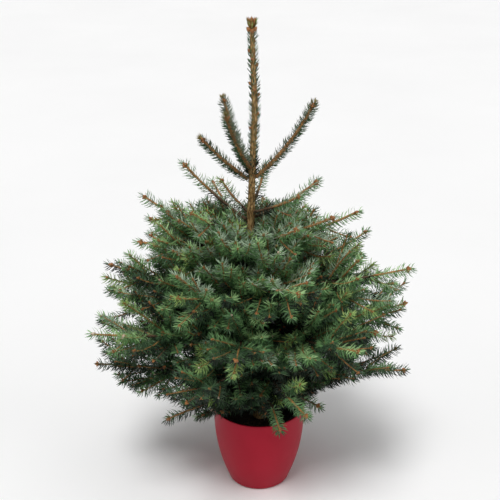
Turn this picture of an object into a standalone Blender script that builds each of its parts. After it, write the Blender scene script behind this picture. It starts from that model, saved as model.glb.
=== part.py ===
# Potted christmas tree: a young blue spruce that grows in a round pot. Metres, +Z up.
# The origin is the middle of the pot's flat underside. The viewer stands at -Y and looks along +Y.
import math
import random
from collections import namedtuple

import bmesh
import bpy
import numpy as np

NAME = "potted_christmas_tree"
GAP = 0.0003  # left between pieces that touch
SEED = 7

# Outer pot
POT_HEIGHT = 0.232
POT_RADIUS = 0.125
POT_FOOT_RADIUS = 0.081
POT_SWELL = 2.4  # a higher power keeps the side near its full width for longer
POT_WALL = 0.004
POT_FLOOR = 0.005
POT_EDGE = 0.010  # rounding between side and underside
POT_EDGE_START = 0.5  # angle in radians where the rounding meets the side
POT_LIP = 0.0012
POT_SIDES = 32
POT_SIDE_RINGS = 10
POT_INNER_RINGS = 4
POT_EDGE_RINGS = 3

# Nursery pot that stands in the outer pot
NURSERY_WALL = 0.0015
NURSERY_FOOT_RADIUS = 0.0700
NURSERY_RADIUS = 0.113
NURSERY_LIP_RADIUS = 0.1165
NURSERY_LIP_DEPTH = 0.010
NURSERY_HEIGHT = 0.228
INNER_SIDES = 32

# Soil, a little lower at its edge than round the trunk
SOIL_TOP = 0.190
SOIL_EDGE_DROP = 0.004
SOIL_FLAT_RADIUS = 0.030

# Trunk: sideways place at some heights, and radius at some heights
TREE_TOP = 1.283
TRUNK_FOOT = SOIL_TOP + GAP
TRUNK_LINE = ((TRUNK_FOOT, 0.004), (0.235, 0.004), (0.45, -0.010), (0.72, -0.024), (0.92, -0.019),
              (1.06, -0.013), (TREE_TOP, -0.022))
TRUNK_RADII = ((TRUNK_FOOT, 0.0215), (0.205, 0.0165), (0.235, 0.0145), (0.72, 0.0095), (0.90, 0.0082),
               (0.94, 0.0065), (1.22, 0.0045), (1.262, 0.0048), (1.276, 0.0100), (TREE_TOP, 0.0060))
TRUNK_STEP = 0.12
TRUNK_SIDES = 16

# Short needles that clothe the leader, the trunk above the top whorl
LEADER_FOOT = 0.940
LEADER_TIP = 1.262
LEADER_CORE = 0.0096
LEADER_TAPER = 0.25
LEADER_REACH = 0.0145
LEADER_STEP = 0.017
LEADER_POINTS = 9

# Tiers of limbs. Angles in degrees: a limb's compass is 0 at +X, 90 at the back, 180 at -X and 270
# in front. A limb's rise is its slope at the trunk and at its tip: its lift is added to both, and
# its bow to the tip alone. Each season a limb grew on by the tier's growth, and made side shoots
# whose length is the tier's side share of that. The limbs of a tier leave the trunk over its
# spread, and are bare up to its bare share.
Tier = namedtuple("Tier", "height spread rise_foot rise_tip growth side bare limbs")
Limb = namedtuple("Limb", "compass length lift bow", defaults=(0, 0))
TIERS = (
    Tier(0.902, 0.040, 48, 62, 0.250, 0.0, 0.0, (
        Limb(182, 0.160, -12), Limb(130, 0.200, 4), Limb(232, 0.180, 4), Limb(355, 0.240, -6, 10))),
    Tier(0.795, 0.045, 30, 42, 0.105, 0.55, 0.0, (
        Limb(186, 0.225, 8, 2), Limb(130, 0.130, -8), Limb(75, 0.150, -8), Limb(15, 0.190, -10),
        Limb(318, 0.170, -8))),
    Tier(0.710, 0.060, 22, 34, 0.100, 0.90, 0.0, (
        Limb(167, 0.310, -2), Limb(115, 0.260, -6), Limb(48, 0.280, -10), Limb(3, 0.285, -7),
        Limb(300, 0.240, 0), Limb(233, 0.260, 2), Limb(192, 0.285, -20), Limb(335, 0.240, -4))),
    Tier(0.590, 0.080, 10, 20, 0.110, 0.95, 0.16, (
        Limb(184, 0.380, 2), Limb(143, 0.370, 3), Limb(85, 0.360, 0), Limb(30, 0.370, 2),
        Limb(345, 0.410, -2), Limb(290, 0.320, 0), Limb(236, 0.330, 4))),
    Tier(0.465, 0.080, 4, 14, 0.115, 0.95, 0.16, (
        Limb(163, 0.420, 5), Limb(108, 0.400, 0), Limb(55, 0.410, 0), Limb(3, 0.405, 4),
        Limb(310, 0.380, 4), Limb(262, 0.330, 0), Limb(206, 0.450, 4), Limb(337, 0.330, -2))),
    Tier(0.360, 0.070, 3, 2, 0.115, 0.90, 0.0, (
        Limb(183, 0.430, 3), Limb(115, 0.380, 0), Limb(45, 0.380, 0), Limb(345, 0.390, 6),
        Limb(290, 0.330, 2), Limb(240, 0.340, 2))),
    Tier(0.285, 0.030, 6, -14, 0.100, 0.90, 0.0, (
        Limb(206, 0.265, 0), Limb(283, 0.215, 4), Limb(322, 0.190, 4))),
)
WHORL_STEP = 0.382  # share of the spread from one limb's foot to the next one's, wrapped round
SWAY = 6.0  # degrees that a limb wavers sideways
PATH_STEPS = 16

# Limb thickness
BOUGH_FOOT_RADIUS = 0.0055
BOUGH_TIP_RADIUS = 0.0042
BOUGH_STEPS = 2
BOUGH_SIDES = 6
STEM_RADIUS = 0.0042
THIN_STEM_RADIUS = 0.0030
THIN_STEM_LENGTH = 0.24

# Side shoots. Each stands for a season's growth and its needles
SHOOT_SIDES = ((-30, 210, 90), (30, 150, 270))  # degrees round the limb, in turn
SHOOT_SPREAD = (42, 58)  # degrees off the parent limb
SHOOT_CURL = 0.65  # share of that spread that is left at the shoot's tip
SHOOT_ROLL = 18  # degrees that a shoot is rolled off its side
SHOOT_OLDER = 0.40  # added to the length for each season of age
SHOOT_VIGOUR = (0.85, 1.1)  # the length varies between these shares
INNERMOST = 0.24  # no side shoot leaves a limb within this share of it
SHOOT_RADIUS = 0.0034
SHOOT_MIN = 0.055
SHOOT_SUNK = 0.0030
SHOOT_STEPS = 8

# Needles stand out of a shoot as teeth that sweep forward, wider than life, and widest on the
# stem's inner end, where a tooth stands for a twig
TOOTH_REACH = 0.025
STEM_REACH = 0.036
TOOTH_SWEEP = 0.014
TOOTH_STEP = 0.032
TIP_REACH = 0.010
TIP_SWEEP = 0.004
TAPER = 0.45
SPRAY_SIDES = 4
SPRAY_RINGS = 4  # a spray has at least this many rings of teeth
SPRAY_SKEW = (0.3, 0.1, 1.0)  # never along a limb: sets which way a spray's first teeth point

# Clear space that a mass keeps: from the edge of its own space for teeth and for the middle line
# of a shoot, from another limb's middle line, from the trunk, and from the pot's rim
TOOTH_CLEAR = 0.0015
CORE_CLEAR = 0.011
LIMB_CLEAR = 0.010
TRUNK_CLEAR = 0.004
RIM_CLEAR = 0.006

# Form of one spray: its core, how much that tapers, how far teeth reach at its foot and its tip,
# their spacing, and whether the foot is a flat cut
Spray = namedtuple("Spray", "radius taper reach step flat_foot")

COLOURS = {
    "pot": (0.30, 0.012, 0.022, 0.32),
    "nursery_pot": (0.010, 0.010, 0.011, 0.30),
    "soil": (0.030, 0.018, 0.011, 0.95),
    "trunk": (0.22, 0.13, 0.055, 0.85),
    "bough": (0.17, 0.095, 0.045, 0.85),
    "needles": (0.045, 0.105, 0.058, 0.60),
}


def clear_scene():
    for thing in list(bpy.data.objects):
        bpy.data.objects.remove(thing, do_unlink=True)


def material(kind):
    """Plain material of one kind, made once."""
    if kind in bpy.data.materials:
        return bpy.data.materials[kind]
    red, green, blue, roughness = COLOURS[kind]
    made = bpy.data.materials.new(kind)
    made.use_nodes = True
    shader = made.node_tree.nodes["Principled BSDF"]
    shader.inputs["Base Color"].default_value = (red, green, blue, 1.0)
    shader.inputs["Roughness"].default_value = roughness
    shader.inputs["Metallic"].default_value = 0.0
    made.diffuse_color = (red, green, blue, 1.0)
    return made


def place(name, data, kind, collection):
    """Object of the given data in a collection, with its material."""
    piece = bpy.data.objects.new(name, data)
    data.materials.append(material(kind))
    collection.objects.link(piece)
    return piece


def turned(name, outline, sides, kind, collection):
    """Solid of revolution. The outline starts and ends on the axis and runs down its outer side."""
    mesh = bpy.data.meshes.new(name)
    edges = [(n, n + 1) for n in range(len(outline) - 1)]
    mesh.from_pydata([(radius, 0.0, height) for radius, height in outline], edges, [])
    piece = place(name, mesh, kind, collection)
    screw = piece.modifiers.new("Turn", "SCREW")
    screw.axis = "Z"
    screw.steps = sides
    screw.render_steps = sides
    screw.use_merge_vertices = True
    screw.merge_threshold = 0.00001
    screw.use_smooth_shade = True
    return piece


def pot_side(height):
    """Radius of the outer pot's side at a height."""
    depth = 1.0 - height / POT_HEIGHT
    return POT_FOOT_RADIUS + (POT_RADIUS - POT_FOOT_RADIUS) * (1.0 - depth ** POT_SWELL)


def make_pot(collection):
    lip = POT_HEIGHT - POT_LIP
    inner_heights = np.linspace(POT_FLOOR + POT_EDGE, lip, POT_INNER_RINGS)
    inner = [(pot_side(height) - POT_WALL, height) for height in inner_heights]
    rim = [(POT_RADIUS - POT_WALL + POT_LIP, POT_HEIGHT), (POT_RADIUS - POT_LIP, POT_HEIGHT)]
    side = [(pot_side(height), height) for height in np.linspace(lip, POT_EDGE, POT_SIDE_RINGS)]
    corner_radius = pot_side(POT_EDGE) - POT_EDGE
    corner = [(corner_radius + POT_EDGE * math.cos(angle), POT_EDGE * (1.0 - math.sin(angle)))
              for angle in np.linspace(POT_EDGE_START, math.pi / 2, POT_EDGE_RINGS)]
    floor = [(0.0, POT_FLOOR), (corner_radius - POT_WALL, POT_FLOOR)]
    outline = floor + inner + rim + side + corner + [(0.0, 0.0)]
    return turned("pot", outline, POT_SIDES, "pot", collection)


def nursery_side(height):
    """Outer radius of the nursery pot at a height."""
    foot = POT_FLOOR + GAP
    return float(np.interp(height, (foot, NURSERY_HEIGHT), (NURSERY_FOOT_RADIUS, NURSERY_RADIUS)))


def make_nursery_pot(collection):
    foot = POT_FLOOR + GAP
    floor = foot + NURSERY_WALL
    lip = NURSERY_HEIGHT - NURSERY_LIP_DEPTH
    outline = [
        (0.0, floor),
        (nursery_side(floor) - NURSERY_WALL, floor),
        (nursery_side(NURSERY_HEIGHT) - NURSERY_WALL, NURSERY_HEIGHT),
        (NURSERY_LIP_RADIUS, NURSERY_HEIGHT),
        (NURSERY_LIP_RADIUS, lip),
        (nursery_side(lip), lip),
        (nursery_side(foot), foot),
        (0.0, foot),
    ]
    return turned("nursery_pot", outline, INNER_SIDES, "nursery_pot", collection)


def make_soil(collection):
    bottom = POT_FLOOR + GAP + NURSERY_WALL + GAP
    inset = NURSERY_WALL + 2.0 * GAP
    edge = SOIL_TOP - SOIL_EDGE_DROP
    edge_radius = nursery_side(edge) - inset
    outline = [
        (0.0, SOIL_TOP),
        (SOIL_FLAT_RADIUS, SOIL_TOP),
        ((SOIL_FLAT_RADIUS + edge_radius) / 2, SOIL_TOP - SOIL_EDGE_DROP / 3),
        (edge_radius, edge),
        (nursery_side(bottom) - inset, bottom),
        (0.0, bottom),
    ]
    return turned("soil", outline, INNER_SIDES, "soil", collection)


def trunk_centre(height):
    heights, places = zip(*TRUNK_LINE)
    return np.array([np.interp(height, heights, places), 0.0, height])


def trunk_radius(height):
    heights, radii = zip(*TRUNK_RADII)
    return np.interp(height, heights, radii)


def tube(name, points, radii, sides, kind, collection):
    """Tapering limb: a curve with a round bevel of the given number of sides."""
    thickest = float(max(radii))
    curve = bpy.data.curves.new(name, "CURVE")
    curve.dimensions = "3D"
    curve.bevel_depth = thickest
    curve.bevel_resolution = (sides - 4) // 2
    curve.use_fill_caps = True
    spline = curve.splines.new("POLY")
    spline.points.add(len(points) - 1)
    for knot, point, radius in zip(spline.points, points, radii):
        knot.co = (*map(float, point), 1.0)
        knot.radius = float(radius) / thickest
    return place(name, curve, kind, collection)


def solid_of(piece):
    """Mesh object with a curve's welded shape. The curve is removed."""
    evaluated = piece.evaluated_get(bpy.context.evaluated_depsgraph_get())
    mesh = bpy.data.meshes.new_from_object(evaluated)
    shape = bmesh.new()
    shape.from_mesh(mesh)
    bmesh.ops.remove_doubles(shape, verts=shape.verts, dist=0.00001)
    shape.to_mesh(mesh)
    shape.free()
    solid = bpy.data.objects.new(piece.name, mesh)
    solid.matrix_world = piece.matrix_world
    piece.users_collection[0].objects.link(solid)
    name = piece.name
    bpy.data.objects.remove(piece, do_unlink=True)
    solid.name = name
    return solid


def largest_body(mesh):
    """Keep a mesh's largest closed body: loose scraps and sealed hollows are dropped."""
    shape = bmesh.new()
    shape.from_mesh(mesh)
    bmesh.ops.triangulate(shape, faces=shape.faces)
    shape.faces.ensure_lookup_table()
    shape.faces.index_update()
    body_of = {}
    sizes = []
    for seed in shape.faces:
        if seed.index in body_of:
            continue
        body_of[seed.index] = len(sizes)
        front = [seed]
        size = 0
        while front:
            face = front.pop()
            size += 1
            for edge in face.edges:
                for other in edge.link_faces:
                    if other.index not in body_of:
                        body_of[other.index] = len(sizes)
                        front.append(other)
        sizes.append(size)
    largest = sizes.index(max(sizes))
    scraps = [face for face in shape.faces if body_of[face.index] != largest]
    bmesh.ops.delete(shape, geom=scraps, context="FACES")
    shape.to_mesh(mesh)
    shape.free()


def fuse(base, parts):
    """One Boolean union joins a collection of solids to the base, which is then one closed body."""
    if len(parts.objects) > 0:
        joined = base.modifiers.new("Join", "BOOLEAN")
        joined.operation = "UNION"
        joined.operand_type = "COLLECTION"
        joined.collection = parts
        joined.solver = "EXACT"
        evaluated = base.evaluated_get(bpy.context.evaluated_depsgraph_get())
        mesh = bpy.data.meshes.new_from_object(evaluated)
        base.modifiers.remove(joined)
        base.data = mesh
    for thing in list(parts.objects):
        bpy.data.objects.remove(thing, do_unlink=True)
    bpy.data.collections.remove(parts)
    largest_body(base.data)
    return base


def workshop(name):
    """Collection for the solids that one union takes in."""
    made = bpy.data.collections.new(name)
    bpy.context.scene.collection.children.link(made)
    return made


def make_trunk(collection):
    """Trunk from its flat cut on the soil to its tip, with short needles fused on its leader."""
    heights = {height for height, _ in TRUNK_LINE + TRUNK_RADII}
    heights |= set(np.arange(TRUNK_STEP * 2, LEADER_FOOT, TRUNK_STEP))
    heights = sorted(heights)
    points = [trunk_centre(height) for height in heights]
    radii = [trunk_radius(height) for height in heights]
    trunk = solid_of(tube("trunk", points, radii, TRUNK_SIDES, "trunk", collection))
    needles = workshop("leader_needles")
    heights = np.linspace(LEADER_FOOT, LEADER_TIP, LEADER_POINTS)
    path = np.array([trunk_centre(height) for height in heights])
    form = Spray(LEADER_CORE, LEADER_TAPER, (LEADER_REACH, LEADER_REACH), LEADER_STEP, False)
    spray("leader", path, form, lambda point: True, needles)
    return fuse(trunk, needles)


def unit(vector):
    return vector / np.linalg.norm(vector)


def foot_radius(tier, limb):
    """Radius of a limb where it leaves the trunk."""
    if tier.bare > 0.0:
        return BOUGH_FOOT_RADIUS
    return STEM_RADIUS if limb.length > THIN_STEM_LENGTH else THIN_STEM_RADIUS


def foot_reach(height, out, rise, radius):
    """Distance from the trunk's middle line to a limb's foot, whose edge clears the leaning trunk."""
    reach = 0.0
    for side in (-1.0, 1.0):
        edge = height + side * radius * math.cos(rise)
        lean = (trunk_centre(edge) - trunk_centre(height)) @ out
        reach = max(reach, trunk_radius(edge) + lean + side * radius * math.sin(rise))
    return reach + GAP


def limb_path(rank, number):
    """Points along a limb's middle line, from the trunk's surface to the limb's tip."""
    tier = TIERS[rank - 1]
    limb = tier.limbs[number]
    sway = random.Random(SEED + 1000 * rank + number).uniform(-SWAY, SWAY)
    height = tier.height + tier.spread * ((number * WHORL_STEP) % 1.0 - 0.5)
    compass = math.radians(limb.compass)
    rise = math.radians(tier.rise_foot + limb.lift)
    out = np.array([math.cos(compass), math.sin(compass), 0.0])
    points = [trunk_centre(height) + out * foot_reach(height, out, rise, foot_radius(tier, limb))]
    gain = tier.rise_tip - tier.rise_foot + limb.bow
    for step in range(PATH_STEPS):
        share = (step + 0.5) / PATH_STEPS
        slope = math.radians(tier.rise_foot + limb.lift + gain * share)
        turn = compass + math.radians(sway * math.sin(2.0 * math.pi * share))
        level = math.cos(slope)
        heading = np.array([math.cos(turn) * level, math.sin(turn) * level, math.sin(slope)])
        points.append(points[-1] + heading * limb.length / PATH_STEPS)
    return np.array(points)


def on_path(path, share):
    """Point and heading at a share of a path's length."""
    place_on = min(max(share, 0.0), 1.0) * (len(path) - 1)
    first = min(int(place_on), len(path) - 2)
    step = path[first + 1] - path[first]
    return path[first] + step * (place_on - first), unit(step)


def part_of(path, start, end, steps):
    """The stretch of a path between two shares of its length."""
    return np.array([on_path(path, share)[0] for share in np.linspace(start, end, steps + 1)])


def distance(points, line):
    """Distance from each point to a line of joined segments."""
    starts = line[:-1]
    steps = line[1:] - starts
    shares = ((points[:, None] - starts) * steps).sum(2) / (steps * steps).sum(1)
    feet = starts + shares.clip(0.0, 1.0)[..., None] * steps
    return np.linalg.norm(points[:, None] - feet, axis=2).min(1)


def fits(points, own, lines, clear):
    """Which points lie in the space of one mass: nearer to its own limb than to any other."""
    points = np.atleast_2d(points)
    mine = distance(points, lines[own])
    others = np.min([distance(points, line) for key, line in lines.items() if key != own], axis=0)
    heights = points[:, 2]
    centres = np.interp(heights, *zip(*TRUNK_LINE))
    from_trunk = np.hypot(points[:, 0] - centres, points[:, 1]) - trunk_radius(heights)
    from_axis = np.hypot(points[:, 0], points[:, 1])
    off_pot = (heights > POT_HEIGHT + RIM_CLEAR) | (from_axis > POT_RADIUS + RIM_CLEAR)
    off_limbs = (others - mine > 2.0 * clear) & (others > LIMB_CLEAR)
    return off_limbs & off_pot & (from_trunk > TRUNK_CLEAR)


def length_of(path):
    return np.linalg.norm(np.diff(path, axis=0), axis=1).sum()


def side_shoots(path, tier, key, lines):
    """Side shoots of a limb, a season apart from its tip inwards, each ending where its space does."""
    length = length_of(path)
    rng = random.Random(SEED + 100 * key[0] + key[1])
    shoots = []
    for season in range(1, int(length / tier.growth) + 1):
        share = 1.0 - season * tier.growth / length
        if share < INNERMOST:
            break
        foot, heading = on_path(path, share)
        across = unit(np.cross((0.0, 0.0, 1.0), heading))
        upward = np.cross(heading, across)
        for side in SHOOT_SIDES[season % 2]:
            roll = math.radians(side + rng.uniform(-SHOOT_ROLL, SHOOT_ROLL))
            spread = math.radians(rng.uniform(*SHOOT_SPREAD))
            older = tier.side + SHOOT_OLDER * (season - 1)
            growth = tier.growth * older * rng.uniform(*SHOOT_VIGOUR)
            out = across * math.cos(roll) + upward * math.sin(roll)
            shoot = bowed(foot, heading, out, spread, growth)
            inner = fits(shoot[2:], key, lines, CORE_CLEAR)
            kept = 2 + (len(inner) if inner.all() else int(np.argmin(inner)))
            if (kept - 1) * growth / SHOOT_STEPS >= SHOOT_MIN:
                shoots.append(shoot[:kept])
    return shoots


def bowed(foot, heading, out, spread, length):
    """Path that leaves a limb at an angle and bows towards the limb's own heading."""
    points = [foot]
    for step in range(SHOOT_STEPS):
        share = (step + 0.5) / SHOOT_STEPS
        angle = spread * (1.0 + (SHOOT_CURL - 1.0) * share)
        step_heading = heading * math.cos(angle) + out * math.sin(angle)
        points.append(points[-1] + step_heading * length / SHOOT_STEPS)
    return np.array(points)


def spray(name, path, form, keep, collection):
    """Slim core along a path with teeth of needles: a sphere's rings are strung along the path."""
    rings = max(SPRAY_RINGS, round(length_of(path) / form.step)) + 1
    shape = bmesh.new()
    bmesh.ops.create_uvsphere(shape, u_segments=SPRAY_SIDES, v_segments=rings, radius=1.0)
    reference = unit(np.cross(path[-1] - path[0], SPRAY_SKEW))
    for vert in shape.verts:
        ring = round(rings * (1.0 - math.acos(max(-1.0, min(1.0, vert.co.z))) / math.pi))
        corner = round(math.atan2(vert.co.y, vert.co.x) / (2.0 * math.pi) * SPRAY_SIDES)
        share = max(0, ring - 1) / (rings - 1)
        middle, heading = on_path(path, share)
        if ring <= 1 and not form.flat_foot:
            middle = middle + heading * (SHOOT_SUNK if ring else -SHOOT_SUNK)
        if ring in (0, rings):
            vert.co = middle
            continue
        across = unit(np.cross(np.cross(heading, reference), heading))
        other = np.cross(heading, across)
        angle = 2.0 * math.pi * corner / SPRAY_SIDES
        out = across * math.cos(angle) + other * math.sin(angle)
        vert.co = middle + out * form.radius * (1.0 - form.taper * share)
        if ring >= 2 and (ring + corner) % 2 == 0:
            reach = form.reach[0] + (form.reach[1] - form.reach[0]) * share
            tooth = middle + out * reach + heading * TOOTH_SWEEP
            if ring == rings - 1:
                tooth = middle + out * TIP_REACH + heading * TIP_SWEEP
            if keep(tooth):
                vert.co = tooth
    bmesh.ops.triangulate(shape, faces=shape.faces, quad_method="SHORT_EDGE")
    mesh = bpy.data.meshes.new(name)
    shape.to_mesh(mesh)
    shape.free()
    return place(name, mesh, "needles", collection)


def make_mass(name, path, rank, number, lines, collection):
    """One mass of foliage: a toothed stem along its limb, with side shoots fused on."""
    tier = TIERS[rank - 1]
    key = (rank, number)
    start = tier.bare + GAP / length_of(path) if tier.bare > 0.0 else 0.0

    def keep(point):
        return bool(fits(point, key, lines, TOOTH_CLEAR)[0])

    long_limb = tier.limbs[number].length > THIN_STEM_LENGTH
    radius = STEM_RADIUS if long_limb else THIN_STEM_RADIUS
    reach = (STEM_REACH, TOOTH_REACH) if long_limb else (TOOTH_REACH, TOOTH_REACH)
    form = Spray(radius, TAPER, reach, TOOTH_STEP, True)
    stem = spray(name, part_of(path, start, 1.0, PATH_STEPS), form, keep, collection)
    shoots = workshop(name + "_shoots")
    form = Spray(SHOOT_RADIUS, TAPER, (TOOTH_REACH, TOOTH_REACH), TOOTH_STEP, False)
    for count, shoot in enumerate(side_shoots(path, tier, key, lines)):
        spray(f"shoot_{count}", shoot, form, keep, shoots)
    return fuse(stem, shoots)


def make_bough(name, path, bare, collection):
    points = part_of(path, 0.0, bare, BOUGH_STEPS)
    radii = np.linspace(BOUGH_FOOT_RADIUS, BOUGH_TIP_RADIUS, BOUGH_STEPS + 1)
    return tube(name, points, radii, BOUGH_SIDES, "bough", collection)


def main():
    clear_scene()
    collection = bpy.data.collections.new(NAME)
    bpy.context.scene.collection.children.link(collection)
    make_pot(collection)
    make_nursery_pot(collection)
    make_soil(collection)
    make_trunk(collection)
    lines = {(rank, number): limb_path(rank, number)
             for rank, tier in enumerate(TIERS, 1) for number in range(len(tier.limbs))}
    for (rank, number), path in lines.items():
        bare = TIERS[rank - 1].bare
        if bare > 0.0:
            make_bough(f"tier{rank}_bough_{number + 1}", path, bare, collection)
        make_mass(f"tier{rank}_needles_{number + 1}", path, rank, number, lines, collection)


main()
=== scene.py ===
import math
import random
from collections import defaultdict, namedtuple

import bpy
import numpy as np
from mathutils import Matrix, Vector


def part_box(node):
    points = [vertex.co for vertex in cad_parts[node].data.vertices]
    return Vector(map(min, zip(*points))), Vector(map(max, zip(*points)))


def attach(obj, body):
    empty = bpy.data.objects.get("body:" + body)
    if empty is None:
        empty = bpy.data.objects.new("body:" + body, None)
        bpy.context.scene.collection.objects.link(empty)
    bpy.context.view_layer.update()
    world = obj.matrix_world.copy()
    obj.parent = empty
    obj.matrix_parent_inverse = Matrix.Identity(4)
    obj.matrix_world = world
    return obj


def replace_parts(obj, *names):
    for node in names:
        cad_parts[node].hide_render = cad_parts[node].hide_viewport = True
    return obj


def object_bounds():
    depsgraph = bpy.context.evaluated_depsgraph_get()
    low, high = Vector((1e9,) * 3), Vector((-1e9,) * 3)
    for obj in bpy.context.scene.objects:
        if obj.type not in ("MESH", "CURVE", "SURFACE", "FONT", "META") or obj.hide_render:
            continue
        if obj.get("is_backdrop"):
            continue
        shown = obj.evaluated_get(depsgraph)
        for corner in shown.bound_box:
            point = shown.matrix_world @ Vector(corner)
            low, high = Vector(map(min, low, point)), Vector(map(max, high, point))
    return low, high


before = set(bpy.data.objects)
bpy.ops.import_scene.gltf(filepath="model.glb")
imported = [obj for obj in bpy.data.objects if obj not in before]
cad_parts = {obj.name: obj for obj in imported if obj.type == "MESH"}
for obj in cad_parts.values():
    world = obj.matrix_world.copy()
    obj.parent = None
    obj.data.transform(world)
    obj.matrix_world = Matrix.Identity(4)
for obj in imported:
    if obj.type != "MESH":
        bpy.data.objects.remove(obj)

CAD_LOW, CAD_HIGH = (np.array(corner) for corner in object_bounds())
BODY = "root"
SEED = 7  # each part draws from a stream of its own, offset from this
UP = np.array((0.0, 0.0, 1.0))
SIDEWAYS = np.array((1.0, 0.0, 0.0))  # the side that an upright twig takes
FULL_TURN = 2.0 * math.pi
GOLDEN = math.radians(137.508)

# Heights and radii that the frame gives
POT_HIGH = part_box("pot")[1]
NURSERY_LOW, NURSERY_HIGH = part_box("nursery_pot")
SOIL_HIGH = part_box("soil")[1]
TREE_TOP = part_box("trunk")[1].z
POT_HEIGHT = POT_HIGH.z
POT_RADIUS = POT_HIGH.x
SOIL_TOP = SOIL_HIGH.z
SOIL_RADIUS = SOIL_HIGH.x

# The tree's rule, as in the part's source: trunk line, tiers of limbs and side shoots. Angles of limbs
# and shoots are in degrees.
GAP = 0.0003
TRUNK_FOOT = SOIL_TOP + GAP
TRUNK_LINE = ((TRUNK_FOOT, 0.004), (0.235, 0.004), (0.45, -0.010), (0.72, -0.024), (0.92, -0.019),
              (1.06, -0.013), (TREE_TOP, -0.022))
TRUNK_RADII = ((TRUNK_FOOT, 0.0215), (0.205, 0.0165), (0.235, 0.0145), (0.72, 0.0095), (0.90, 0.0082),
               (0.94, 0.0065), (1.22, 0.0045), (1.262, 0.0048), (1.276, 0.0100), (TREE_TOP, 0.0060))
# Tiers by height, their limbs' rise in degrees, growth a season, side growth and bare share
Tier = namedtuple("Tier", "height spread rise_foot rise_tip growth side bare limbs")
Limb = namedtuple("Limb", "compass length lift bow", defaults=(0, 0))
TIERS = (
    Tier(0.902, 0.040, 48, 62, 0.250, 0.0, 0.0, (
        Limb(182, 0.160, -12), Limb(130, 0.200, 4), Limb(232, 0.180, 4), Limb(355, 0.240, -6, 10))),
    Tier(0.795, 0.045, 30, 42, 0.105, 0.55, 0.0, (
        Limb(186, 0.225, 8, 2), Limb(130, 0.130, -8), Limb(75, 0.150, -8), Limb(15, 0.190, -10),
        Limb(318, 0.170, -8))),
    Tier(0.710, 0.060, 22, 34, 0.100, 0.90, 0.0, (
        Limb(167, 0.310, -2), Limb(115, 0.260, -6), Limb(48, 0.280, -10), Limb(3, 0.285, -7),
        Limb(300, 0.240), Limb(233, 0.260, 2), Limb(192, 0.285, -20), Limb(335, 0.240, -4))),
    Tier(0.590, 0.080, 10, 20, 0.110, 0.95, 0.16, (
        Limb(184, 0.380, 2), Limb(143, 0.370, 3), Limb(85, 0.360), Limb(30, 0.370, 2),
        Limb(345, 0.410, -2), Limb(290, 0.320), Limb(236, 0.330, 4))),
    Tier(0.465, 0.080, 4, 14, 0.115, 0.95, 0.16, (
        Limb(163, 0.420, 5), Limb(108, 0.400), Limb(55, 0.410), Limb(3, 0.405, 4),
        Limb(310, 0.380, 4), Limb(262, 0.330), Limb(206, 0.450, 4), Limb(337, 0.330, -2))),
    Tier(0.360, 0.070, 3, 2, 0.115, 0.90, 0.0, (
        Limb(183, 0.430, 3), Limb(115, 0.380), Limb(45, 0.380), Limb(345, 0.390, 6),
        Limb(290, 0.330, 2), Limb(240, 0.340, 2))),
    Tier(0.285, 0.030, 6, -14, 0.100, 0.90, 0.0, (
        Limb(206, 0.265), Limb(283, 0.215, 4), Limb(322, 0.190, 4))),
)
WHORL_STEP = 0.382  # limbs follow each other up their tier by this share of its spread
SWAY = 6.0
PATH_STEPS = 16
BOUGH_FOOT_RADIUS = 0.0055
STEM_RADIUS = 0.0042
THIN_STEM_RADIUS = 0.0030
THIN_STEM_LENGTH = 0.24
SHOOT_SIDES = ((-30, 210, 90), (30, 150, 270))
SHOOT_SPREAD = (42, 58)
SHOOT_CURL = 0.65  # share of its spread that is left at a side shoot's tip
SHOOT_ROLL = 18
SHOOT_OLDER = 0.40  # growth of an older season against the newest
SHOOT_VIGOUR = (0.85, 1.1)
INNERMOST = 0.24
SHOOT_MIN = 0.055
SHOOT_STEPS = 8
LIMB_CLEAR = 0.010
TRUNK_CLEAR = 0.004
RIM_CLEAR = 0.006

# The crown's outline, as height and distance from the trunk, which finer twigs stay within
CROWN_LINE = ((0.150, 0.12), (0.200, 0.17), (0.245, 0.20), (0.270, 0.25), (0.300, 0.305), (0.345, 0.39),
              (0.450, 0.43), (0.480, 0.43), (0.640, 0.39), (0.670, 0.33), (0.720, 0.285), (0.770, 0.245),
              (0.805, 0.215), (0.822, 0.17), (0.834, 0.04), (0.848, 0.00))
CROWN_FLATNESS = 0.86  # its depth from front to back as a share of its width
FRONT_FLATNESS = ((0.250, 0.60), (0.340, 0.70), (0.450, 0.86))  # the same in front, by height
# How far right of the trunk it stands, by height
CROWN_LEAN = ((0.245, -0.050), (0.270, -0.090), (0.300, -0.090), (0.345, -0.030), (0.450, 0.0),
              (0.740, 0.0), (0.810, -0.050))
SIGHT_SLOPE = 0.426  # fall of the viewer's line of sight, which low front and high back twigs keep to
SIGHT_FRONT = (0.50, 0.38)  # not at all above the first height, and in full below the second
SIGHT_BACK = (0.60, 0.72)  # not at all below the first height, and in full above the second
OPENING_HALF_WIDTH = 0.026  # the foliage leaves the trunk in view from the front
OPENING_LOW = 0.735
OPENING_RISE = 0.42  # the opening's lower edge rises by this share of the distance to the trunk

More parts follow.
